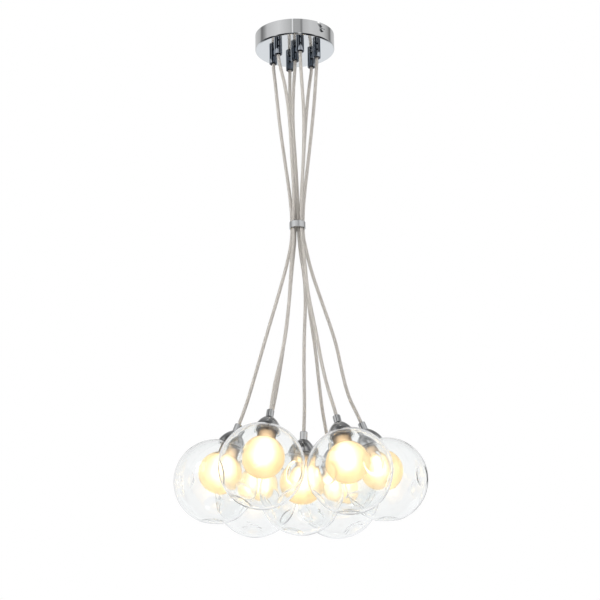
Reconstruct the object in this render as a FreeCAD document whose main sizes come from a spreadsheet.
import FreeCAD, Part
import math
import os

import Sketcher

# A cluster pendant: seven dimpled glass globes on cords from one round canopy. A ring gathers the cords.
# Millimetres and degrees. The origin is the centre of the ceiling plane, +Z is up and +X is to the right.

os.makedirs("parts", exist_ok=True)
doc = FreeCAD.newDocument("ClusterPendant")

# ---------------------------------------------------------------- driving dimensions

SIZES = [
    # the gap that hand-fitted pieces keep, and the gap between pieces that turn or swing past each other
    ("fit", 0.1),
    ("rest_gap", 0.3),
    # cords
    ("cord_width", 5),
    ("cord_seat", 4),
    ("core_width", 3.2),
    # canopy
    ("canopy_width", 120),
    ("canopy_depth", 25),
    ("canopy_sheet", 1),
    ("canopy_round", 2.5),
    ("canopy_turn", -50),
    ("slot_width", 4.6),
    ("slot_mouth", 4),
    ("slot_turn", 6.3),
    # canopy cord grips and their lock nuts
    ("grip_circle", 69),
    ("grip_width", 12),
    ("grip_length", 17),
    ("grip_chamfer", 0.8),
    ("grip_shank", 10),
    ("grip_shank_length", 9),
    ("grip_screw_width", 2.8),
    ("grip_screw_drop", 5),
    ("nut_flats", 14),
    ("nut_height", 3),
    # ceiling bracket, side screws and terminal block
    ("bracket_width", 22),
    ("bracket_sheet", 1.5),
    ("bracket_bend", 1),
    ("bracket_lip", 5),
    ("ceiling_hole_width", 5),
    ("ceiling_hole_circle", 70),
    ("side_screw_width", 4),
    ("side_screw_drop", 10.5),
    ("side_screw_tail", 2),
    ("side_head_width", 8),
    ("side_head_height", 2.4),
    ("side_head_round", 0.8),
    ("side_head_slot", 1.2),
    ("block_length", 36),
    ("block_depth", 18),
    ("block_height", 12),
    ("block_chamfer", 1),
    ("block_pitch", 12),
    ("block_way_width", 4),
    ("block_ways", 3),
    # gathering ring
    ("ring_drop", 303),
    ("ring_width", 24),
    ("ring_height", 10),
    ("ring_wall", 1),
    ("ring_round", 0.4),
    # the cluster of lamps
    ("cluster_drop", 690),
    # dimpled globe
    ("globe_width", 120),
    ("globe_wall", 2),
    ("globe_gap", 0.6),
    ("globe_neck_width", 31.6),
    ("globe_neck_stand", 1.8),
    ("dimple_width", 30),
    ("dimple_sink", 4),
    ("dimple_round", 4),
    # opal inner globe
    ("opal_width", 60),
    ("opal_wall", 1.6),
    ("opal_rise", 14),
    ("opal_neck_width", 26),
    ("opal_neck_round", 3),
    ("opal_neck_stand", 1),
    # dome cap and its cord grip
    ("cap_width", 39),
    ("cap_height", 20),
    ("cap_wall", 1),
    ("cap_top_width", 13),
    ("cap_curve", 38),
    ("cap_ledge", 0.9),
    ("cap_screw_width", 2.6),
    ("cap_screw_drop", 5),
    ("neck_grip_width", 11),
    ("neck_grip_length", 12.2),
    ("neck_grip_chamfer", 0.7),
    ("neck_grip_shank", 8),
    ("neck_grip_reach", 6),
    # lampholder and its capsule lamp
    ("holder_flange_width", 25.2),
    ("holder_flange_height", 2),
    ("holder_reach", 11),
    ("holder_boss_width", 15),
    ("lamp_width", 14),
    ("lamp_sink", 6),
    ("lamp_length", 51),
]

# Each lamp: the way it hangs from the middle, how much lower than the cluster's drop the centre of its globe
# lies, how far its axis leans, and which way its first dimple and its set screw face.
LAMPS = {
    "right": {"way": 0, "lower": 1, "lean": 22, "dimple": -37, "screw": -130},
    "back_right": {"way": 60, "lower": 4, "lean": 21.5, "dimple": -136, "screw": -90},
    "back_left": {"way": 120, "lower": 2, "lean": 20.5, "dimple": -100, "screw": -90},
    "left": {"way": 180, "lower": 4, "lean": 21.5, "dimple": -134, "screw": -74},
    "front_left": {"way": 240, "lower": 6, "lean": 18.5, "dimple": -32, "screw": -105},
    "front_right": {"way": 300, "lower": 13, "lean": 19.5, "dimple": -62, "screw": -70},
    "middle": {"way": 180, "lower": 20.5, "lean": 3, "dimple": -68, "screw": -90},
}

# The six lamps that hang round the middle one, in turn, and how far apart their ways are.
OUTER_LAMPS = [name for name in LAMPS if name != "middle"]
OUTER_STEP = 360 / len(OUTER_LAMPS)

# The dimples of a globe: height above its waist and turn round its axis, both as angles. Five are spaced
# round the lower half and one is pressed in underneath.
DIMPLES = [(-20, 0), (-23, 72), (-18, 144), (-22, 216), (-19, 288), (-66, 180)]

# Routes of the cords. The upper ones run from the canopy grips through the ring, the lower ones from the
# ring to the pendants, and the middle one is in one length.
UPPER_ROUTES = {
    "left": [
        (-32.4, 11.8, -38), (-32.4, 11.8, -48), (-30.5, 11, -66), (-28, 9.5, -96),
        (-24, 7.5, -145), (-17, 4.5, -205), (-11.5, 2.5, -250), (-9, 1, -278),
        (-8.2, 0, -297), (-8.2, 0, -313),
    ],
    "front_left": [
        (-26.4, -22.2, -38), (-26.4, -22.2, -48), (-22.4, -20.6, -66), (-15.5, -18.5, -96),
        (-10, -15.5, -145), (-7.5, -11.5, -205), (-5.2, -8.5, -250), (-5.5, -6.3, -278),
        (-6.3, -5.3, -297), (-6.3, -5.3, -313),
    ],
    "back_left": [
        (-6, 34, -38), (-6, 34, -48), (-6.5, 32, -66), (-7, 28.5, -96),
        (-5, 23.5, -145), (-1.5, 17.5, -205), (-0.5, 12.5, -250), (-2, 9.2, -278),
        (-3.5, 7.4, -297), (-3.5, 7.4, -313),
    ],
    "back_right": [
        (26.4, 22.2, -38), (26.4, 22.2, -48), (23.5, 21, -66), (19.5, 19, -96),
        (15, 16, -145), (10.8, 12.5, -205), (7.6, 9.5, -250), (5.8, 7.5, -278),
        (5.3, 6.3, -297), (5.3, 6.3, -313),
    ],
    "front_right": [
        (6, -34, -38), (6, -34, -48), (6.5, -32, -66), (8.5, -28.5, -96),
        (11, -23.5, -145), (9.5, -17, -205), (7, -12, -250), (5.8, -8.5, -278),
        (5.3, -6.3, -297), (5.3, -6.3, -313),
    ],
    "right": [
        (32.4, -11.8, -38), (32.4, -11.8, -48), (31, -11, -66), (29, -9.5, -96),
        (24.5, -7, -145), (17.5, -4.5, -205), (12, -2.2, -250), (9.2, -0.8, -278),
        (8.2, 0, -297), (8.2, 0, -313),
    ],
}
LOWER_ROUTES = {
    "left": [
        (-8.2, 0, -313.3), (-8.2, 0, -324), (-10.5, 0.3, -342), (-17.5, 0.5, -374),
        (-31.5, 0, -424), (-48.5, -0.5, -482), (-62.5, -0.5, -532), (-74, 0, -572),
        (-83.4, 0, -599.5), (-89.2, 0, -614.4),
    ],
    "front_left": [
        (-6.3, -5.3, -313.3), (-6.3, -5.3, -324), (-7.5, -8.5, -342), (-11, -17.5, -374),
        (-14.5, -33, -424), (-20.5, -49.5, -482), (-29.5, -60.5, -530), (-39.5, -69, -570),
        (-44.2, -76.5, -599.7), (-46.7, -80.9, -614.8),
    ],
    "back_left": [
        (-3.5, 7.4, -313.3), (-3.5, 7.4, -324), (-5, 10, -342), (-8.5, 17.5, -374),
        (-12.5, 31, -424), (-20.5, 46, -482), (-28, 57.5, -530), (-35.5, 66.5, -568),
        (-42.5, 73.6, -596.9), (-45.3, 78.5, -611.8),
    ],
    "back_right": [
        (5.3, 6.3, -313.3), (5.3, 6.3, -324), (7, 9, -342), (11.5, 18, -374),
        (17, 32, -424), (26.5, 46.5, -482), (31.5, 57, -530), (36.5, 66, -572),
        (41.7, 72.2, -599.5), (44.6, 77.3, -614.4),
    ],
    "front_right": [
        (5.3, -6.3, -313.3), (5.3, -6.3, -324), (7, -9.5, -342), (9, -18, -374),
        (11.5, -32, -424), (21, -47, -484), (27.5, -58, -536), (35.5, -68, -578),
        (43.4, -75.1, -607.3), (46, -79.7, -622.3),
    ],
    "right": [
        (8.2, 0, -313.3), (8.2, 0, -324), (11.5, 0.3, -342), (18.5, 0.6, -376),
        (34.5, 0, -428), (53, -0.4, -486), (61.5, 0.4, -534), (70, 0.6, -570),
        (82.6, 0, -596.8), (88.5, 0, -611.6),
    ],
}
MIDDLE_ROUTE = [
    (0, 0, -38), (0, 0, -48), (-1.2, 0.5, -66), (-3.5, 1, -96), (-4.8, 0.8, -145), (-1.5, 0, -205),
    (0.6, -0.4, -255), (1, 0.2, -308), (3.5, 0.4, -350), (9.5, 0, -390), (10.2, -0.3, -428), (7.5, 0, -476),
    (6.2, 0.4, -530), (6.4, 0, -578), (5.3, 0, -609.1), (4.5, 0, -625),
]

# An arc of a cord uses this share of the shorter of its two runs.
ARC_SHARE = 0.45
# Edges are found by their place and radius to within this much.
NEAR = 0.001

sheet = doc.addObject("Spreadsheet::Sheet", "Sizes")
for row, (alias, number) in enumerate(SIZES, start=1):
    sheet.set(f"A{row}", alias)
    sheet.set(f"B{row}", str(number))
    sheet.setAlias(f"B{row}", alias)
doc.recompute()


def size(formula):
    """The value of a formula written with the names of the sheet's cells."""
    return float(sheet.evalExpression(formula))


def bound(formula):
    """The same formula as an expression for other objects, with each cell named through the sheet."""
    words = []
    word = ""
    for letter in formula + " ":
        if letter.isalnum() or letter in "_.":
            word += letter
            continue
        words.append(f"Sizes.{word}" if word in ALIASES else word)
        words.append(letter)
        word = ""
    return "".join(words).strip()


ALIASES = {alias for alias, number in SIZES}

# ---------------------------------------------------------------- shared heights and radii, as formulas

BRACKET_REACH = "(sqrt(pow(canopy_width / 2 - canopy_sheet; 2) - pow(bracket_width / 2; 2)) - rest_gap)"
CORD_BORE = "(cord_width / 2 + rest_gap)"
GLOBE_REACH = "(globe_width / 2 + rest_gap)"
CAP_BORE = "(globe_neck_width / 2 + rest_gap)"
CAP_FOOT = f"sqrt(pow({GLOBE_REACH}; 2) - pow(cap_width / 2; 2))"
CAP_INNER_FOOT = f"sqrt(pow({GLOBE_REACH}; 2) - pow({CAP_BORE}; 2))"
CAP_TOP = f"({CAP_FOOT} + cap_height)"
NECK_TOP = "(globe_width / 2 + globe_neck_stand)"
COLLAR_TOP = f"({NECK_TOP} + rest_gap)"
HOLDER_TOP = f"({CAP_TOP} - neck_grip_reach)"
OPAL_NECK_TOP = f"({COLLAR_TOP} + opal_neck_stand)"
FLANGE_FOOT = f"({OPAL_NECK_TOP} + fit)"
FLANGE_TOP = f"({FLANGE_FOOT} + holder_flange_height)"
HOLDER_FOOT = f"({FLANGE_FOOT} - holder_reach)"
LAMP_TOP = f"({HOLDER_FOOT} + lamp_sink)"

# ---------------------------------------------------------------- building blocks


def bind(thing, field, formula):
    """Tie one field of an object to a formula of the sheet."""
    thing.setExpression(field, bound(formula))


def origin_part(body, role):
    """One of a body's own origin planes or axes."""
    for feature in body.Origin.OriginFeatures:
        if feature.Role == role:
            return feature
    raise ValueError(f"{body.Label} has no {role}")


def new_body(name):
    body = doc.addObject("PartDesign::Body", name)
    body.Label = name
    return body


def new_sketch(body, name, role):
    sketch = body.newObject("Sketcher::SketchObject", name)
    sketch.AttachmentSupport = [(origin_part(body, role), "")]
    sketch.MapMode = "FlatFace"
    return sketch


def place_point(sketch, geometry, end, across, along):
    """Hold one end of a line or arc at a place given by two formulas."""
    for kind, formula, axis in (("DistanceX", across, -2), ("DistanceY", along, -1)):
        if formula == "0":
            sketch.addConstraint(Sketcher.Constraint("PointOnObject", geometry, end, axis))
            continue
        number = sketch.addConstraint(Sketcher.Constraint(kind, -1, 1, geometry, end, size(formula)))
        bind(sketch, f"Constraints[{number}]", formula)


def draw_outline(sketch, corners):
    """A closed outline of corners (across, along). Where an arc leaves a corner, its radius and side follow.

    The side is +1 where the arc's centre lies to the left of the way to the next corner, -1 to the right.
    """
    spots = [FreeCAD.Vector(size(corner[0]), size(corner[1]), 0) for corner in corners]
    ends = []
    for number, corner in enumerate(corners):
        start = spots[number]
        stop = spots[(number + 1) % len(corners)]
        if len(corner) == 2:
            ends.append((sketch.addGeometry(Part.LineSegment(start, stop)), 1, 2))
            continue
        radius, side = size(corner[2]), corner[3]
        chord = stop - start
        to_centre = FreeCAD.Vector(-chord.y, chord.x, 0).normalize() * side
        centre = (start + stop) * 0.5 + to_centre * math.sqrt(radius**2 - (chord.Length / 2) ** 2)
        middle = centre - to_centre * radius
        arc = Part.Arc(start, middle, stop).toShape().Curve
        low, high = (start, stop) if side > 0 else (stop, start)
        first = math.atan2(low.y - centre.y, low.x - centre.x)
        last = math.atan2(high.y - centre.y, high.x - centre.x)
        circle = Part.Circle(arc.Center, FreeCAD.Vector(0, 0, 1), radius)
        geometry = sketch.addGeometry(Part.ArcOfCircle(circle, first, last))
        limit = sketch.addConstraint(Sketcher.Constraint("Radius", geometry, radius))
        bind(sketch, f"Constraints[{limit}]", corner[2])
        ends.append((geometry, 1, 2) if side > 0 else (geometry, 2, 1))
    for number, (geometry, start_end, stop_end) in enumerate(ends):
        following, next_start, next_stop = ends[(number + 1) % len(ends)]
        sketch.addConstraint(Sketcher.Constraint("Coincident", geometry, stop_end, following, next_start))
        place_point(sketch, geometry, start_end, corners[number][0], corners[number][1])


def draw_circle(sketch, across, along, width):
    """One circle with its centre at a place given by two formulas."""
    centre = FreeCAD.Vector(size(across), size(along), 0)
    circle = Part.Circle(centre, FreeCAD.Vector(0, 0, 1), size(width) / 2)
    geometry = sketch.addGeometry(circle)
    place_point(sketch, geometry, 3, across, along)
    limit = sketch.addConstraint(Sketcher.Constraint("Diameter", geometry, size(width)))
    bind(sketch, f"Constraints[{limit}]", width)


def revolved(name, corners):
    """A body turned about the Z axis from an outline in the XZ plane."""
    body = new_body(name)
    sketch = new_sketch(body, f"{name}_outline", "XZ_Plane")
    draw_outline(sketch, corners)
    turned = body.newObject("PartDesign::Revolution", f"{name}_turned")
    turned.Profile = sketch
    turned.ReferenceAxis = (sketch, ["V_Axis"])
    turned.Angle = 360
    doc.recompute()
    return body


def pocket(body, sketch, length, both_ways=False, forward=False):
    """Cut a sketch out of a body: against the sketch's normal, along it, or both ways."""
    before = body.Shape.Volume
    cut = body.newObject("PartDesign::Pocket", f"{sketch.Name}_cut")
    cut.Profile = sketch
    cut.Reversed = forward
    cut.SideType = "Symmetric" if both_ways else "One side"
    bind(cut, "Length", length)
    doc.recompute()
    if not body.Shape.Volume < before:
        raise ValueError(f"{cut.Name} cuts nothing")
    return cut


def circular_pattern(body, feature, count):
    """Repeat a cut round the body's Z axis."""
    before = body.Shape.Volume
    pattern = body.newObject("PartDesign::PolarPattern", f"{feature.Name}_pattern")
    pattern.Originals = [feature]
    pattern.Axis = (origin_part(body, "Z_Axis"), [""])
    pattern.Angle = 360
    pattern.Occurrences = count
    body.Tip = pattern
    doc.recompute()
    if not body.Shape.Volume < before:
        raise ValueError(f"{pattern.Name} cuts nothing")
    return pattern


def circle_edges(shape, radius, height=None):
    """Names of the round edges of one radius and, if given, one height."""
    names = []
    for number, edge in enumerate(shape.Edges, start=1):
        try:
            curve = edge.Curve
        except TypeError:
            continue
        if not isinstance(curve, Part.Circle) or abs(curve.Radius - radius) > NEAR:
            continue
        if height is None or abs(curve.Center.z - height) < NEAR:
            names.append(f"Edge{number}")
    return names


def rounded(body, edges, radius, kind="Fillet"):
    """Round or chamfer named edges of a body."""
    solid = body.Tip
    dressing = body.newObject(f"PartDesign::{kind}", f"{body.Name}_{kind.lower()}_{len(body.Group)}")
    dressing.Base = (solid, edges)
    bind(dressing, "Radius" if kind == "Fillet" else "Size", radius)
    body.Tip = dressing
    doc.recompute()


def turned_about_z(angle):
    return FreeCAD.Rotation(FreeCAD.Vector(0, 0, 1), angle)


def group(name, pieces):
    """Separate solids that share one node."""
    together = doc.addObject("Part::Compound", name)
    together.Label = name
    together.Links = pieces
    return together


SUB_PARTS = []


def keep(piece):
    SUB_PARTS.append(piece)
    return piece


CANOPY_PLACE = FreeCAD.Placement(FreeCAD.Vector(), turned_about_z(size("canopy_turn")))

# ---------------------------------------------------------------- canopy: a drawn pan, open above


def make_canopy():
    body = revolved("canopy", [
        ("canopy_width / 2", "0"),
        ("canopy_width / 2", "-canopy_depth"),
        ("0", "-canopy_depth"),
        ("0", "canopy_sheet - canopy_depth"),
        ("canopy_width / 2 - canopy_sheet", "canopy_sheet - canopy_depth"),
        ("canopy_width / 2 - canopy_sheet", "0"),
    ])
    rounded(body, circle_edges(body.Shape, size("canopy_width / 2"), -size("canopy_depth")), "canopy_round")
    inner = size("canopy_width / 2 - canopy_sheet")
    floor = size("canopy_sheet - canopy_depth")
    rounded(body, circle_edges(body.Shape, inner, floor), "canopy_round - canopy_sheet")

    hole = new_sketch(body, "middle_grip_hole", "XY_Plane")
    draw_circle(hole, "0", "0", "grip_shank + 2 * fit")
    pocket(body, hole, "canopy_depth + canopy_sheet")

    hole = new_sketch(body, "outer_grip_hole", "XY_Plane")
    half_step = f"{OUTER_STEP / 2} deg"
    across = f"grip_circle / 2 * cos({half_step})"
    draw_circle(hole, across, f"grip_circle / 2 * sin({half_step})", "grip_shank + 2 * fit")
    outer = pocket(body, hole, "canopy_depth + canopy_sheet")
    circular_pattern(body, outer, len(OUTER_LAMPS))

    # The bayonet slot opens at the rim and runs down aslant to the side screw, once on each side.
    slot = new_sketch(body, "bayonet_slot", "YZ_Plane")
    draw_outline(slot, [
        ("-slot_turn - slot_width / 2", "canopy_sheet"),
        ("-slot_turn - slot_width / 2", "-slot_mouth"),
        ("-slot_width / 2", "-side_screw_drop - slot_width / 2"),
        ("slot_width / 2", "-side_screw_drop - slot_width / 2"),
        ("slot_width / 2", "slot_width / 2 - side_screw_drop"),
        ("slot_width / 2 - slot_turn", "slot_width / 2 - slot_mouth"),
        ("slot_width / 2 - slot_turn", "canopy_sheet"),
    ])
    cut = pocket(body, slot, "canopy_width / 2 + canopy_sheet", forward=True)
    circular_pattern(body, cut, 2)
    body.Placement = CANOPY_PLACE
    return keep(body)


# ---------------------------------------------------------------- bracket, side screws, terminal block


def make_bracket():
    body = new_body("ceiling_bracket")
    sketch = new_sketch(body, "bracket_section", "XZ_Plane")
    lip = "-side_screw_drop - bracket_lip"
    draw_outline(sketch, [
        (f"-{BRACKET_REACH}", "0"),
        (BRACKET_REACH, "0"),
        (BRACKET_REACH, lip),
        (f"{BRACKET_REACH} - bracket_sheet", lip),
        (f"{BRACKET_REACH} - bracket_sheet", "-bracket_sheet"),
        (f"bracket_sheet - {BRACKET_REACH}", "-bracket_sheet"),
        (f"bracket_sheet - {BRACKET_REACH}", lip),
        (f"-{BRACKET_REACH}", lip),
    ])
    strip = body.newObject("PartDesign::Pad", "bracket_strip")
    strip.Profile = sketch
    strip.SideType = "Symmetric"
    bind(strip, "Length", "bracket_width")
    doc.recompute()
    for reach, height, radius in (
        (BRACKET_REACH, "0", "bracket_bend + bracket_sheet"),
        (f"{BRACKET_REACH} - bracket_sheet", "-bracket_sheet", "bracket_bend"),
    ):
        bends = []
        for number, edge in enumerate(body.Shape.Edges, start=1):
            spot = edge.CenterOfMass
            level = abs(spot.z - size(height)) < NEAR
            if level and abs(abs(spot.x) - size(reach)) < NEAR and abs(spot.y) < NEAR:
                bends.append(f"Edge{number}")
        rounded(body, bends, radius)

    for name, spot in (("right_ceiling_hole", "ceiling_hole_circle / 2"),
                       ("left_ceiling_hole", "-ceiling_hole_circle / 2")):
        hole = new_sketch(body, name, "XY_Plane")
        draw_circle(hole, spot, "0", "ceiling_hole_width")
        pocket(body, hole, "2 * bracket_sheet")
    hole = new_sketch(body, "side_screw_hole", "YZ_Plane")
    draw_circle(hole, "0", "-side_screw_drop", "side_screw_width + fit")
    pocket(body, hole, "canopy_width", both_ways=True)
    body.Placement = CANOPY_PLACE
    return keep(body)


def make_side_screw(name, angle):
    """A slotted pan-head screw. It is turned about Z and then laid along the bracket, head outwards."""
    tip = f"{BRACKET_REACH} - canopy_width / 2 - bracket_sheet - side_screw_tail"
    body = revolved(name, [
        ("0", tip),
        ("side_screw_width / 2", tip),
        ("side_screw_width / 2", "0"),
        ("side_head_width / 2", "0"),
        ("side_head_width / 2", "side_head_height"),
        ("0", "side_head_height"),
    ])
    top_edge = circle_edges(body.Shape, size("side_head_width / 2"), size("side_head_height"))
    rounded(body, top_edge, "side_head_round")
    slot = new_sketch(body, f"{name}_slot", "XZ_Plane")
    draw_outline(slot, [
        ("-side_head_slot / 2", "side_head_height / 2"),
        ("side_head_slot / 2", "side_head_height / 2"),
        ("side_head_slot / 2", "side_head_height + fit"),
        ("-side_head_slot / 2", "side_head_height + fit"),
    ])
    pocket(body, slot, "2 * side_head_width", both_ways=True)
    outwards = FreeCAD.Rotation(FreeCAD.Vector(0, 1, 0), 90)
    reach = FreeCAD.Vector(size("canopy_width / 2"), 0, -size("side_screw_drop"))
    laid = FreeCAD.Placement(reach, outwards)
    body.Placement = FreeCAD.Placement(FreeCAD.Vector(), turned_about_z(angle)) * laid
    return body


def make_terminal_block():
    body = new_body("terminal_block")
    sketch = new_sketch(body, "block_section", "XZ_Plane")
    foot = "-bracket_sheet - block_height"
    draw_outline(sketch, [
        ("-block_length / 2", "-bracket_sheet"),
        ("-block_length / 2", foot),
        ("block_length / 2", foot),
        ("block_length / 2", "-bracket_sheet"),
    ])
    pad = body.newObject("PartDesign::Pad", "block_pad")
    pad.Profile = sketch
    pad.SideType = "Symmetric"
    bind(pad, "Length", "block_depth")
    doc.recompute()
    low_edges = []
    for number, edge in enumerate(body.Shape.Edges, start=1):
        spot = edge.CenterOfMass
        if abs(spot.z - size(foot)) < NEAR and abs(spot.x) < NEAR:
            low_edges.append(f"Edge{number}")
    rounded(body, low_edges, "block_chamfer", kind="Chamfer")
    way = new_sketch(body, "wire_way", "XZ_Plane")
    first_way = "block_pitch * (1 - block_ways) / 2"
    draw_circle(way, first_way, "-bracket_sheet - block_height / 2", "block_way_width")
    first = pocket(body, way, "2 * block_depth", both_ways=True)
    ways = body.newObject("PartDesign::LinearPattern", "wire_ways")
    ways.Originals = [first]
    ways.Direction = (origin_part(body, "X_Axis"), [""])
    bind(ways, "Length", "block_pitch * (block_ways - 1)")
    bind(ways, "Occurrences", "block_ways")
    body.Tip = ways
    doc.recompute()
    body.Placement = CANOPY_PLACE
    return keep(body)


# ---------------------------------------------------------------- canopy cord grips and lock nuts


def grip_spots():
    """Centres of the seven grips: the middle one and six on a circle between the two slots."""
    spots = {"middle": FreeCAD.Vector()}
    for number, name in enumerate(OUTER_LAMPS):
        angle = math.radians(size("canopy_turn") + OUTER_STEP * (number + 0.5))
        reach = size("grip_circle / 2")
        spots[name] = FreeCAD.Vector(reach * math.cos(angle), reach * math.sin(angle), 0)
    return spots


def make_canopy_grip(name, spot):
    """A round grip under the canopy: its shank goes up through the sheet, its cord's bore opens below."""
    top = "grip_shank_length + canopy_sheet"
    body = revolved(name, [
        ("core_width / 2", top),
        ("grip_shank / 2", top),
        ("grip_shank / 2", "0"),
        ("grip_width / 2", "0"),
        ("grip_width / 2", "-grip_length"),
        (CORD_BORE, "-grip_length"),
        (CORD_BORE, "cord_seat - grip_length"),
        ("core_width / 2", "cord_seat - grip_length"),
    ])
    foot_edge = circle_edges(body.Shape, size("grip_width / 2"), -size("grip_length"))
    rounded(body, foot_edge, "grip_chamfer", kind="Chamfer")
    screw = new_sketch(body, f"{name}_screw", "XZ_Plane")
    draw_circle(screw, "0", "-grip_screw_drop", "grip_screw_width")
    pocket(body, screw, "grip_width", forward=True)
    body.Placement = FreeCAD.Placement(spot - FreeCAD.Vector(0, 0, size("canopy_depth")), FreeCAD.Rotation())
    return body


def make_lock_nut(name, spot):
    """A hexagon nut on the shank, inside the canopy."""
    blank = doc.addObject("Part::Prism", f"{name}_blank")
    blank.Polygon = 6
    bind(blank, "Circumradius", "nut_flats / sqrt(3)")
    bind(blank, "Height", "nut_height")
    bore = doc.addObject("Part::Cylinder", f"{name}_bore")
    bind(bore, "Radius", "grip_shank / 2 + fit")
    bind(bore, "Height", "nut_height")
    nut = doc.addObject("Part::Cut", name)
    nut.Base = blank
    nut.Tool = bore
    height = size("canopy_sheet - canopy_depth")
    seat = spot + FreeCAD.Vector(0, 0, height)
    nut.Placement = FreeCAD.Placement(seat, turned_about_z(size("canopy_turn")))
    return nut


def make_ring():
    """The thin tube that gathers the seven cords."""
    body = revolved("gathering_ring", [
        ("ring_width / 2 - ring_wall", "-ring_drop"),
        ("ring_width / 2", "-ring_drop"),
        ("ring_width / 2", "-ring_drop - ring_height"),
        ("ring_width / 2 - ring_wall", "-ring_drop - ring_height"),
    ])
    edges = []
    for height in ("-ring_drop", "-ring_drop - ring_height"):
        edges += circle_edges(body.Shape, size("ring_width / 2"), size(height))
        edges += circle_edges(body.Shape, size("ring_width / 2 - ring_wall"), size(height))
    rounded(body, edges, "ring_round")
    return keep(body)


# ---------------------------------------------------------------- pendants


def lamp_place(lamp, facing):
    """Where a pendant hangs: its globe's centre, its axis leaning to the middle, and the way it is turned."""
    reach = 0 if lamp is LAMPS["middle"] else size("globe_width + globe_gap")
    way = math.radians(lamp["way"])
    drop = size("cluster_drop") + lamp["lower"]
    centre = FreeCAD.Vector(reach * math.cos(way), reach * math.sin(way), -drop)
    lean = FreeCAD.Rotation(FreeCAD.Vector(0, 1, 0), -lamp["lean"])
    turn = turned_about_z(lamp["way"]) * lean * turned_about_z(facing - lamp["way"])
    return FreeCAD.Placement(centre, turn)


def meeting_radius(first, second, apart):
    """Radius of the circle in which two spheres meet."""
    along = (apart**2 + first**2 - second**2) / (2 * apart)
    return math.sqrt(first**2 - along**2)


DIMPLE_BALL = "(pow(dimple_width / 2; 2) + pow(dimple_sink; 2)) / (2 * dimple_sink)"
DIMPLE_REACH = f"sqrt(pow(globe_width / 2; 2) - pow(dimple_width / 2; 2)) + {DIMPLE_BALL} - dimple_sink"


def pressed_ball(name, inset):
    """A ball with a neck and the dimples pressed into it, all moved inwards by a formula."""
    ball = doc.addObject("Part::Sphere", f"{name}_ball")
    bind(ball, "Radius", f"globe_width / 2 - {inset}")
    neck = doc.addObject("Part::Cylinder", f"{name}_neck")
    bind(neck, "Radius", f"globe_neck_width / 2 - {inset}")
    bind(neck, "Height", f"{NECK_TOP} + {inset}")
    with_neck = doc.addObject("Part::Fuse", f"{name}_with_neck")
    with_neck.Base = ball
    with_neck.Tool = neck
    presses = []
    for number, (height, turn) in enumerate(DIMPLES):
        press = doc.addObject("Part::Sphere", f"{name}_press_{number}")
        bind(press, "Radius", f"{DIMPLE_BALL} + {inset}")
        way = turned_about_z(turn) * FreeCAD.Rotation(FreeCAD.Vector(0, 1, 0), 90 - height)
        outwards = way.multVec(FreeCAD.Vector(0, 0, 1))
        press.Placement = FreeCAD.Placement(outwards * size(DIMPLE_REACH), way)
        presses.append(press)
    pressing = doc.addObject("Part::MultiFuse", f"{name}_presses")
    pressing.Shapes = presses
    pressed = doc.addObject("Part::Cut", f"{name}_pressed")
    pressed.Base = with_neck
    pressed.Tool = pressing
    doc.recompute()
    ball_radius = size(f"globe_width / 2 - {inset}")
    press_radius = size(f"{DIMPLE_BALL} + {inset}")
    rim = meeting_radius(ball_radius, press_radius, size(DIMPLE_REACH))
    radius = size(f"dimple_round - {inset}")
    soft = doc.addObject("Part::Fillet", f"{name}_soft")
    soft.Base = pressed
    soft.Edges = [(int(edge[4:]), radius, radius) for edge in circle_edges(pressed.Shape, rim)]
    return soft


def make_globe(name, place):
    """Clear glass of one thickness: its inner face follows the dimples of its outer face."""
    glass = doc.addObject("Part::Cut", name)
    glass.Base = pressed_ball(f"{name}_outside", "0")
    glass.Tool = pressed_ball(f"{name}_inside", "globe_wall")
    glass.Label = name
    glass.Placement = place
    return keep(glass)


def ball_with_neck(name, inset, overrun):
    """The opal globe's ball and straight neck, moved inwards by a formula."""
    ball = doc.addObject("Part::Sphere", f"{name}_ball")
    bind(ball, "Radius", f"opal_width / 2 - {inset}")
    bind(ball, "Placement.Base.z", "opal_rise")
    neck = doc.addObject("Part::Cylinder", f"{name}_neck")
    bind(neck, "Radius", f"opal_neck_width / 2 - {inset}")
    bind(neck, "Height", f"{OPAL_NECK_TOP} - opal_rise + {overrun}")
    bind(neck, "Placement.Base.z", "opal_rise")
    joined = doc.addObject("Part::Fuse", f"{name}_joined")
    joined.Base = ball
    joined.Tool = neck
    doc.recompute()
    ball_radius = size(f"opal_width / 2 - {inset}")
    neck_radius = size(f"opal_neck_width / 2 - {inset}")
    shoulder = size("opal_rise") + math.sqrt(ball_radius**2 - neck_radius**2)
    radius = size(f"opal_neck_round + {inset}")
    soft = doc.addObject("Part::Fillet", f"{name}_soft")
    soft.Base = joined
    edges = circle_edges(joined.Shape, neck_radius, shoulder)
    soft.Edges = [(int(edge[4:]), radius, radius) for edge in edges]
    return soft


def make_opal(name, place):
    opal = doc.addObject("Part::Cut", name)
    opal.Base = ball_with_neck(f"{name}_outside", "0", "0")
    opal.Tool = ball_with_neck(f"{name}_inside", "opal_wall", "opal_wall")
    opal.Label = name
    opal.Placement = place
    return keep(opal)


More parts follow.
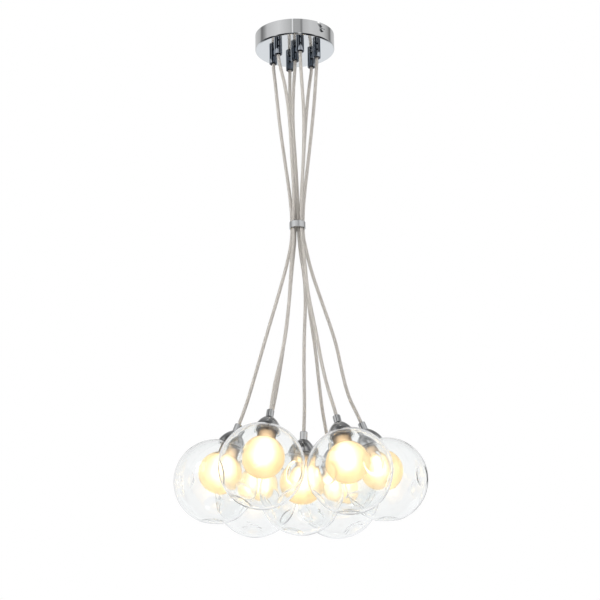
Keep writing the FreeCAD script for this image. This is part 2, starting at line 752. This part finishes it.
def make_cap(name, place):
    """A spun dome. Its foot follows the globe, and a collar inside takes the globe's neck."""
    body = revolved(name, [
        (CAP_BORE, CAP_INNER_FOOT),
        ("cap_width / 2", CAP_FOOT, "cap_curve", 1),
        ("cap_top_width / 2", CAP_TOP),
        ("neck_grip_shank / 2 + fit", CAP_TOP),
        ("neck_grip_shank / 2 + fit", f"{CAP_TOP} - cap_wall"),
        ("cap_top_width / 2 - cap_wall / 2", f"{CAP_TOP} - cap_wall", "cap_curve - cap_wall", -1),
        (f"{CAP_BORE} - cap_ledge", COLLAR_TOP),
        (CAP_BORE, COLLAR_TOP),
    ])
    hole = new_sketch(body, f"{name}_screw", "YZ_Plane")
    draw_circle(hole, "0", f"{CAP_TOP} - cap_screw_drop", "cap_screw_width")
    pocket(body, hole, "cap_width / 2", forward=True)
    body.Placement = place
    return keep(body)


def make_neck_grip(name, place):
    """The cord grip on the dome: its shank goes down to the lampholder, its cord's bore opens above."""
    top = f"{CAP_TOP} + neck_grip_length"
    body = revolved(name, [
        ("core_width / 2", HOLDER_TOP),
        ("neck_grip_shank / 2", HOLDER_TOP),
        ("neck_grip_shank / 2", CAP_TOP),
        ("neck_grip_width / 2", CAP_TOP),
        ("neck_grip_width / 2", top),
        (CORD_BORE, top),
        (CORD_BORE, f"{top} - cord_seat"),
        ("core_width / 2", f"{top} - cord_seat"),
    ])
    edge = circle_edges(body.Shape, size("neck_grip_width / 2"), size(top))
    rounded(body, edge, "neck_grip_chamfer", kind="Chamfer")
    body.Placement = place
    return keep(body)


def make_lampholder(name, place):
    """The lampholder hangs from the grip's shank, fills the opal neck and carries the capsule lamp."""
    holder = revolved(f"{name}_body", [
        ("0", LAMP_TOP),
        ("lamp_width / 2 + fit", LAMP_TOP),
        ("lamp_width / 2 + fit", HOLDER_FOOT),
        ("opal_neck_width / 2 - opal_wall - rest_gap", HOLDER_FOOT),
        ("opal_neck_width / 2 - opal_wall - rest_gap", FLANGE_FOOT),
        ("holder_flange_width / 2", FLANGE_FOOT),
        ("holder_flange_width / 2", FLANGE_TOP),
        ("holder_boss_width / 2", FLANGE_TOP),
        ("holder_boss_width / 2", HOLDER_TOP),
        ("0", HOLDER_TOP),
    ])
    foot = f"{LAMP_TOP} - lamp_length"
    lamp = revolved(f"{name}_lamp", [
        ("0", foot, "lamp_width / 2", 1),
        ("lamp_width / 2", f"{foot} + lamp_width / 2"),
        ("lamp_width / 2", LAMP_TOP),
        ("0", LAMP_TOP),
    ])
    together = group(name, [holder, lamp])
    together.Placement = place
    return keep(together)


# ---------------------------------------------------------------- cords


def make_cord(name, route):
    """A round cord along straight runs joined by tangent arcs, each as large as its two runs allow."""
    spots = [FreeCAD.Vector(*spot) for spot in route]
    edges = []
    radii = []
    last = spots[0]
    for before, corner, after in zip(spots, spots[1:], spots[2:]):
        back = (before - corner).normalize()
        ahead = (after - corner).normalize()
        turn = math.pi - back.getAngle(ahead)
        reach = ARC_SHARE * min(before.distanceToPoint(corner), after.distanceToPoint(corner))
        radius = reach / math.tan(turn / 2)
        radii.append(radius)
        enter = corner + back * reach
        leave = corner + ahead * reach
        inwards = (back + ahead).normalize()
        middle = corner + inwards * (radius / math.cos(turn / 2) - radius)
        edges.append(Part.LineSegment(last, enter).toShape())
        edges.append(Part.Arc(enter, middle, leave).toShape())
        last = leave
    edges.append(Part.LineSegment(last, spots[-1]).toShape())
    path = Part.Wire(edges)
    section = Part.Wire(Part.Circle(spots[0], spots[1] - spots[0], size("cord_width / 2")).toShape())
    cord = doc.addObject("Part::Feature", name)
    cord.Shape = path.makePipeShell([section], True, False)
    cord.Label = name
    expected = math.pi * size("cord_width / 2") ** 2 * path.Length
    print(f"{name}: length {path.Length:.1f}, least radius {min(radii):.0f}, "
          f"volume against section times length {cord.Shape.Volume / expected:.4f}")
    return keep(cord)


# ---------------------------------------------------------------- the whole lamp

make_canopy()
make_bracket()
turn = size("canopy_turn")
screws = [make_side_screw("side_screw_1", turn), make_side_screw("side_screw_2", turn + 180)]
keep(group("canopy_side_screws", screws))
make_terminal_block()
spots = grip_spots()
keep(group("canopy_cord_grips", [make_canopy_grip(f"canopy_grip_{name}", spots[name]) for name in spots]))
keep(group("grip_lock_nuts", [make_lock_nut(f"lock_nut_{name}", spots[name]) for name in spots]))
make_ring()
for name, lamp in LAMPS.items():
    dimpled_place = lamp_place(lamp, lamp["dimple"])
    screw_place = lamp_place(lamp, lamp["screw"])
    make_globe(f"globe_{name}", dimpled_place)
    make_opal(f"opal_globe_{name}", dimpled_place)
    make_cap(f"dome_cap_{name}", screw_place)
    make_neck_grip(f"cord_grip_{name}", screw_place)
    make_lampholder(f"lampholder_{name}", dimpled_place)
for name, route in UPPER_ROUTES.items():
    make_cord(f"upper_cord_{name}", route)
for name, route in LOWER_ROUTES.items():
    make_cord(f"lower_cord_{name}", route)
make_cord("middle_cord", MIDDLE_ROUTE)
doc.recompute()

# ---------------------------------------------------------------- checks and export

for thing in doc.Objects:
    if "Invalid" in thing.State or "Error" in thing.State:
        raise ValueError(f"{thing.Name} failed: {thing.State}")
for piece in SUB_PARTS:
    shape = piece.Shape
    if shape.isNull() or not shape.isValid() or not shape.Solids:
        raise ValueError(f"{piece.Label} has no sound shape")
for piece in SUB_PARTS:
    piece.Shape.exportStep(f"parts/{piece.Label}.step")
print(f"{len(SUB_PARTS)} sub-parts, {sum(len(piece.Shape.Solids) for piece in SUB_PARTS)} solids")
